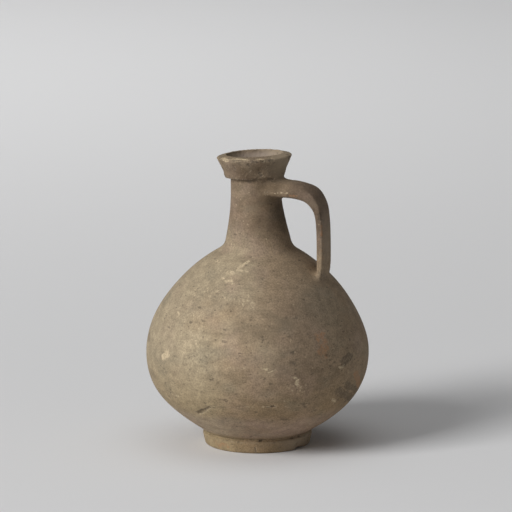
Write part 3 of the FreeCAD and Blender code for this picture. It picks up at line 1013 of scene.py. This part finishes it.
# Painted shade mixed with the clay's own browner colour: towards the camera's right, away from the key lamp, tan
# turns to a darker brown
across = vector_calc(patches, "DOT_PRODUCT", place, tuple(view_right), "Value")
wander = calc(patches, "SUBTRACT", grains(patches, place, *RIGHT_BROWN_SHADE_NOISE), 0.5)
wander = calc(patches, "MULTIPLY", wander, RIGHT_BROWN_SHADE_WANDER)
browner_shaded_right = between(patches, calc(patches, "ADD", across, wander), *RIGHT_BROWN_SHADE_EDGE)
cloud = blend(patches, browner_shaded_right, given.outputs["Tan"], given.outputs["Brown"])
flushed = between(patches, grains(patches, place, *PINK_NOISE), *PINK_RAMP)
flushed = calc(patches, "MULTIPLY", flushed, between(patches, across, *PINK_SIDE))
cloud = blend(patches, flushed, cloud, given.outputs["Pink"])
ashy = grains(patches, stretched(patches, place, 0.6), *ASH_NOISE)
cloud = blend(patches, between(patches, ashy, *ASH_RAMP), cloud, given.outputs["Grey"])
shade = between(patches, grains(patches, stretched(patches, place, 0.7), *SHADE_NOISE), *SHADE_RAMP)
speckle = between(patches, grains(patches, place, *SPECKLE_NOISE), *SPECKLE_RAMP)
shaded = scaled(patches, cloud, calc(patches, "MULTIPLY", shade, speckle))
patches.links.new(shaded, result.inputs["Color"])
print("nodes in the patches:", len(patches.nodes))

# %% Groups: wheel lines, pits and ragged marks
BROAD_LINES = (260, 3)
FINE_LINES = (1100, 2)
PIT_BEND_SCALE = 700.0
PIT_BEND = 0.0012
PIT_FLOOR = 0.4
MARK_THERE = (0.0, 0.12)
MARK_EDGE = (0.2, 0.6)

lines, given, result = group("wheel_lines", [("Position", VECTOR, None)], [("Height", FLOAT)])
broad = grains(lines, stretched(lines, given.outputs["Position"], 0.05), *BROAD_LINES)
fine = grains(lines, stretched(lines, given.outputs["Position"], 0.03), *FINE_LINES)
lines.links.new(calc(lines, "ADD", broad, calc(lines, "MULTIPLY", fine, 0.5)), result.inputs["Height"])

pits, given, result = group(
    "burnt_out_pits",
    [("Position", VECTOR, None), ("Scale", FLOAT, 300.0), ("Share", FLOAT, 0.3), ("Width", FLOAT, 0.2)],
    [("Mask", FLOAT)],
)
bend = add(pits, "ShaderNodeTexNoise", {"Vector": given.outputs["Position"], "Scale": PIT_BEND_SCALE})
bent = vector_calc(pits, "ADD", given.outputs["Position"], scaled(pits, bend.outputs["Color"], PIT_BEND))
cells = add(pits, "ShaderNodeTexVoronoi", {"Vector": bent, "Scale": given.outputs["Scale"]})
chance = add(pits, "ShaderNodeSeparateColor", {"Color": cells.outputs["Color"]}).outputs[0]
there = calc(pits, "LESS_THAN", chance, given.outputs["Share"])
pit_floor = calc(pits, "MULTIPLY", given.outputs["Width"], PIT_FLOOR)
hole = between(pits, cells.outputs["Distance"], pit_floor, given.outputs["Width"], 1, 0)
pits.links.new(calc(pits, "MULTIPLY", hole, there), result.inputs["Mask"])

ragged, given, result = group(
    "ragged_mask",
    [("Position", VECTOR, None), ("Amount", FLOAT, 0.0), ("Scale", FLOAT, 500.0), ("Raggedness", FLOAT, 0.8)],
    [("Mask", FLOAT)],
)
grain = calc(ragged, "SUBTRACT", grains(ragged, given.outputs["Position"], given.outputs["Scale"], 4), 0.5)
grain = calc(ragged, "MULTIPLY", grain, given.outputs["Raggedness"])
filled = between(ragged, given.outputs["Amount"], *MARK_THERE)
edge = between(ragged, calc(ragged, "ADD", given.outputs["Amount"], grain), *MARK_EDGE)
ragged.links.new(calc(ragged, "MULTIPLY", filled, edge), result.inputs["Mask"])
print("groups:", [tree.name for tree in bpy.data.node_groups])

# %% [markdown]
# ## Zones
#
# Beyond the patches the jug has zones: a duller neck, a dark front of the collar, a rosy band over the foot, a
# lighter spot on the front of the belly, which is a painted pool of light where the key lamp falls brightest,
# and a darker, greyer spot below the strap's seat. Two zones are painted shade: the belly's centre-right and the
# neck's right side under the strap's root, which turn away from the key lamp. A painted picture could hold them,
# but would blur close up. Here each zone is a tint and a few ramps over things that are measured on the jug,
# such as the height, and the ramps are multiplied into one mask. All lengths in the material are in metres.

# %% The material, and what is measured on the jug
# The middle of a painted pool of light on the front of the belly, where the key lamp falls brightest
PAINTED_LIGHT_SPOT = (-0.0041, -0.0792, 0.0926)
# Round this spot the belly just below the strap's seat is made darker and greyer
GREYED_SPOT = (0.0644, -0.0277, 0.1130)
MOUTH_MIDDLE = (-0.0029, 0.0019, 0)
FLAKE_NOISE = (90, 4)

clay = bpy.data.materials.new("fired_clay")
clay.use_nodes = True
nodes = clay.node_tree
shader = nodes.nodes["Principled BSDF"]
place = add(nodes, "ShaderNodeTexCoord", {}).outputs["Object"]
apart = add(nodes, "ShaderNodeSeparateXYZ", {"Vector": place})
across = vector_calc(nodes, "DOT_PRODUCT", place, tuple(view_right), "Value")
level_place = vector_calc(nodes, "MULTIPLY", place, (1, 1, 0))
measures = {
    "height": apart.outputs["Z"],
    "out": apart.outputs["X"],
    "across": across,
    "off the middle": calc(nodes, "ABSOLUTE", across, 0.0),
    "from the painted light spot": vector_calc(nodes, "DISTANCE", place, PAINTED_LIGHT_SPOT, "Value"),
    "from the greyed spot": vector_calc(nodes, "DISTANCE", place, GREYED_SPOT, "Value"),
    "from the mouth": vector_calc(nodes, "DISTANCE", level_place, MOUTH_MIDDLE, "Value"),
    "flakes": grains(nodes, place, *FLAKE_NOISE),
}
print("measured on the jug:", list(measures))

# %% The zones, laid over the patches one after another
WORN_EDGE = (0.37, 0.295, 0.205, 1)
ZONES = (
    # name, way of blending and colour, then ramps of (measure, from, to, share at from, share at to)
    ("rosy band", "MULTIPLY", (1.14, 1.10, 1.13, 1), (
        ("height", 0.010, 0.014, 0, 1), ("height", 0.024, 0.038, 1, 0))),
    ("low belly", "MULTIPLY", (0.93, 0.88, 0.76, 1), (
        ("height", 0.02, 0.085, 1, 0), ("rosy band", 0, 1, 1, 0))),
    # Painted light: the belly is lightened round the spot where the key lamp falls brightest
    ("painted light spot", "MULTIPLY", (1.22, 1.22, 1.20, 1), (
        ("from the painted light spot", 0.006, 0.038, 1, 0),)),
    # Darker and greyer just below the strap's seat
    ("greyed spot", "MULTIPLY", (0.88, 0.93, 0.97, 1), (
        ("from the greyed spot", 0.006, 0.032, 1, 0),)),
    # Painted shade: the belly's centre-right, turning away from the key lamp, is darkened
    ("painted shade belt", "MULTIPLY", (0.82, 0.81, 0.83, 1), (
        ("across", 0.002, 0.024, 0, 1), ("across", 0.034, 0.056, 1, 0),
        ("height", 0.045, 0.070, 0, 1), ("height", 0.105, 0.130, 1, 0))),
    ("neck", "MULTIPLY", (0.73, 0.71, 0.71, 1), (
        ("height", 0.144, 0.164, 0, 1),)),
    # Painted shade: the neck's right side below the strap's root, away from the key lamp, is darkened
    ("painted shade on the neck side", "MULTIPLY", (0.76, 0.74, 0.70, 1), (
        ("height", 0.144, 0.164, 0, 1), ("across", -0.010, 0.006, 0, 1),
        ("out", 0.018, 0.025, 1, 0), ("height", 0.188, 0.193, 1, 0))),
    ("collar", "MULTIPLY", (0.50, 0.46, 0.42, 1), (
        ("height", 0.190, 0.196, 0, 1), ("height", 0.2055, 0.2090, 1, 0.35),
        ("flakes", 0.3, 0.6, 0.3, 1), ("off the middle", 0.008, 0.022, 1, 0.15))),
    ("foot", "MIX", (0.50, 0.40, 0.29, 1), (
        ("height", 0.008, 0.011, 1, 0), ("across", 0.008, 0.030, 0, 0.62))),
    ("mouth", "MIX", (0.52, 0.43, 0.36, 1), (
        ("from the mouth", 0.0185, 0.0202, 0.42, 0), ("height", 0.192, 0.200, 0, 1))),
    ("rubbed lip", "MIX", WORN_EDGE, (
        ("height", 0.190, 0.196, 0, 1), ("across", 0.0, 0.018, 0, 0.6))),
    ("strap", "MULTIPLY", (0.62, 0.60, 0.66, 1), (
        ("out", 0.022, 0.034, 0, 1), ("height", 0.138, 0.15, 0, 0.6))),
    ("handled back", "MIX", WORN_EDGE, (
        ("out", 0.022, 0.034, 0, 1), ("height", 0.138, 0.15, 0, 1), ("out", 0.0500, 0.0535, 0, 0.5))),
)


def use_group(tree, feeds):
    """The first output of a node group that is put into the material."""
    return add(nodes, "ShaderNodeGroup", feeds, node_tree=tree).outputs[0]


colour = use_group(patches, {"Position": place})
for name, manner, tint_colour, ramps in ZONES:
    mask = None
    for measure, *ends in ramps:
        ramp = between(nodes, measures[measure], *ends)
        mask = ramp if mask is None else calc(nodes, "MULTIPLY", mask, ramp)
    measures[name] = mask
    colour = blend(nodes, mask, colour, tint_colour, manner)
print("zones:", [zone[0] for zone in ZONES])

# %% [markdown]
# ## Stains, pits and marks
#
# Next comes what sits on the surface and in it: smudges, soil in the wheel lines, dark pits, pale grit, and the
# marks that were pressed in. The mesh holds how much fresh clay, dirt or iron shows, along with some painted
# highlight on the lip and belly and painted shade in its hollows and creases, but its points lie a millimetre or
# so apart, which alone would give round, soft blots. So a noise makes each mark's rim ragged.

# %% Stains, wheel lines and pits
STAIN = (0.17, 0.135, 0.09, 1)
DARK_DIRT_AND_SHADE = (0.075, 0.06, 0.045, 1)
PALE_BREAK_AND_HIGHLIGHT = (0.60, 0.48, 0.315, 1)
SMUDGE_NOISE = (70, 6)
SMUDGE_RAMP = (0.55, 0.75, 0, 0.5)
WHEEL_STAIN_RAMP = (0.85, 1.05, 0, 0.25)
PIT_DARKNESS = 0.5
GRIT_PALENESS = 0.3

smudge = grains(nodes, stretched(nodes, place, 0.35), *SMUDGE_NOISE)
colour = blend(nodes, between(nodes, smudge, *SMUDGE_RAMP), colour, STAIN)
wheel = use_group(lines, {"Position": place})
colour = blend(nodes, between(nodes, wheel, *WHEEL_STAIN_RAMP), colour, STAIN)
small_pits = use_group(pits, {
    "Position": stretched(nodes, place, 0.5), "Scale": 430.0, "Share": 0.42, "Width": 0.26,
})
large_pits = use_group(pits, {
    "Position": stretched(nodes, place, 0.45), "Scale": 190.0, "Share": 0.28, "Width": 0.19,
})
holes = calc(nodes, "MAXIMUM", small_pits, large_pits)
colour = blend(nodes, calc(nodes, "MULTIPLY", holes, PIT_DARKNESS), colour, DARK_DIRT_AND_SHADE)
pale_grit = use_group(pits, {"Position": place, "Scale": 300.0, "Share": 0.1, "Width": 0.26})
colour = blend(nodes, calc(nodes, "MULTIPLY", pale_grit, GRIT_PALENESS), colour, PALE_BREAK_AND_HIGHLIGHT)
print("nodes so far:", len(nodes.nodes))

# %% Worn edges, iron, fresh breaks with some painted highlight, and dirt with painted shade in hollows, as the mesh's points hold them
IRON_ORANGE = (0.36, 0.19, 0.095, 1)
PATCHY_NOISE = (700, 5)
PATCHY_RAMP = (0.36, 0.6, 0.35, 1)
EDGE_SHARE = 0.45
POINT_MARKS = (
    # part of the stored colour, scale of the ragged rim per metre, raggedness, share and colour
    ("Blue", 300.0, 1.4, 0.7, IRON_ORANGE),
    ("Red", 500.0, 1.5, 0.9, PALE_BREAK_AND_HIGHLIGHT),
    ("Green", 420.0, 1.5, 0.6, DARK_DIRT_AND_SHADE),
)
stored = add(nodes, "ShaderNodeAttribute", {}, attribute_name="marks")
amounts = add(nodes, "ShaderNodeSeparateColor", {"Color": stored.outputs["Color"]})
worn = use_group(ragged, {"Position": place, "Amount": stored.outputs["Alpha"], "Scale": 420.0})
colour = blend(nodes, calc(nodes, "MULTIPLY", worn, EDGE_SHARE), colour, WORN_EDGE)
patchy = between(nodes, grains(nodes, place, *PATCHY_NOISE), *PATCHY_RAMP)
for part, scale, raggedness, share, mark_colour in POINT_MARKS:
    feeds = {"Position": place, "Amount": amounts.outputs[part], "Scale": scale, "Raggedness": raggedness}
    mask = calc(nodes, "MULTIPLY", use_group(ragged, feeds), calc(nodes, "MULTIPLY", patchy, share))
    colour = blend(nodes, mask, colour, mark_colour)
nodes.links.new(colour, shader.inputs["Base Color"])
print("marks in the colour:", len(POINT_MARKS), "and the worn edges")

# %% [markdown]
# ## A dry, gritty skin
#
# Low-fired clay without a glaze is dull all over and feels like fine sandpaper. Its lumps, grit, pits and
# wheel lines are about a tenth of a millimetre high. A mesh that fine would be far too heavy, so a bump node
# only shades them. The larger dents and chips are in the mesh and need no bump.

# %% Relief, dullness and the finished material
# Heights in millimetres
LUMPS = 0.14
GRIT = 0.03
WHEEL_LINES = 0.035
PIT_DEPTH = 0.12
LUMP_NOISE = (120, 3)
GRIT_NOISE = (1100, 3)
DULL_NOISE = (80, 3)
DULL_RAMP = (0.3, 0.7, 0.72, 0.92)
SPECULAR_LEVEL = 0.3

lumps = calc(nodes, "MULTIPLY", grains(nodes, place, *LUMP_NOISE), LUMPS)
grit = calc(nodes, "MULTIPLY", grains(nodes, place, *GRIT_NOISE), GRIT)
relief = calc(nodes, "ADD", calc(nodes, "ADD", lumps, grit), calc(nodes, "MULTIPLY", wheel, WHEEL_LINES))
relief = calc(nodes, "SUBTRACT", relief, calc(nodes, "MULTIPLY", holes, PIT_DEPTH))
bump = add(nodes, "ShaderNodeBump", {"Height": relief, "Distance": MM, "Strength": 1.0})
nodes.links.new(bump.outputs[0], shader.inputs["Normal"])
nodes.links.new(between(nodes, grains(nodes, place, *DULL_NOISE), *DULL_RAMP), shader.inputs["Roughness"])
shader.inputs["Specular IOR Level"].default_value = SPECULAR_LEVEL
jug.data.materials.append(clay)
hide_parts("jug")
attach(jug, "root")
print("nodes in the clay:", len(nodes.nodes))

# %% [markdown]
# ## A plain studio
#
# The picture shows pale paper with a soft shadow that falls to the right and away. One broad lamp stands far off
# to the left and in front, thirty degrees up. A weak one overhead and the room fill the shadows, and a small
# lamp behind the jug brightens only the paper there. A sun lamp would give a hard shadow, which the picture
# hasn't.

# %% Paper, lamps and room
PAPER = (0.78, 0.78, 0.785, 1)
FLOOR_SIZE = 16.0
JUG_MIDDLE = Vector((0, 0, 0.08))
KEY_DISTANCE = 7.0
KEY_FROM_FRONT = math.radians(53.0)
KEY_ELEVATION = math.radians(30.0)
KEY_SIZE = 3.2
KEY_POWER = 431.0
OVERHEAD_PLACE = Vector((0, 0, 3.0))
OVERHEAD_SIZE = 3.0
OVERHEAD_POWER = 19.0
PAPER_LAMP_BEHIND = 1.45
PAPER_LAMP_LEFT = 0.4
PAPER_LAMP_UP = Vector((0, 0, 1.6))
PAPER_LAMP_AHEAD = 0.58
PAPER_LAMP_SIZE = 0.8
PAPER_LAMP_POWER = 4.4
PAPER_LAMP_SPREAD = math.radians(120)
ROOM_STRENGTH = 0.13

bpy.ops.mesh.primitive_plane_add(size=FLOOR_SIZE, location=(0, 0, 0))
floor = bpy.context.object
floor.name = "studio_floor"
paper = bpy.data.materials.new("studio_paper")
paper.use_nodes = True
paper_shader = paper.node_tree.nodes["Principled BSDF"]
paper_shader.inputs["Base Color"].default_value = PAPER
paper_shader.inputs["Roughness"].default_value = 1.0
paper_shader.inputs["Specular IOR Level"].default_value = 0.0
floor.data.materials.append(paper)


def lamp(name, place, aim, size, power):
    """A square soft lamp at one place, turned towards another, in metres."""
    light = bpy.data.lights.new(name, "AREA")
    light.shape = "SQUARE"
    light.size = size
    light.energy = power
    stand = bpy.data.objects.new(name, light)
    stand.location = place
    stand.rotation_euler = (aim - place).to_track_quat("-Z", "Y").to_euler()
    bpy.context.scene.collection.objects.link(stand)
    return light


key_level = -view_right * math.sin(KEY_FROM_FRONT) - level_ahead * math.cos(KEY_FROM_FRONT)
key_way = key_level * math.cos(KEY_ELEVATION) + Vector((0, 0, math.sin(KEY_ELEVATION)))
lamp("key_light", JUG_MIDDLE + key_way * KEY_DISTANCE, JUG_MIDDLE, KEY_SIZE, KEY_POWER)
lamp("overhead_light", OVERHEAD_PLACE, Vector((0, 0, 0)), OVERHEAD_SIZE, OVERHEAD_POWER)
behind = level_ahead * PAPER_LAMP_BEHIND - view_right * PAPER_LAMP_LEFT
lit_paper = behind + level_ahead * PAPER_LAMP_AHEAD
paper_light = lamp("paper_light", behind + PAPER_LAMP_UP, lit_paper, PAPER_LAMP_SIZE, PAPER_LAMP_POWER)
paper_light.spread = PAPER_LAMP_SPREAD
world = bpy.data.worlds.new("studio")
bpy.context.scene.world = world
world.use_nodes = True
world.node_tree.nodes["Background"].inputs["Color"].default_value = (1, 1, 1, 1)
world.node_tree.nodes["Background"].inputs["Strength"].default_value = ROOM_STRENGTH
bpy.context.scene.view_settings.view_transform = "Standard"
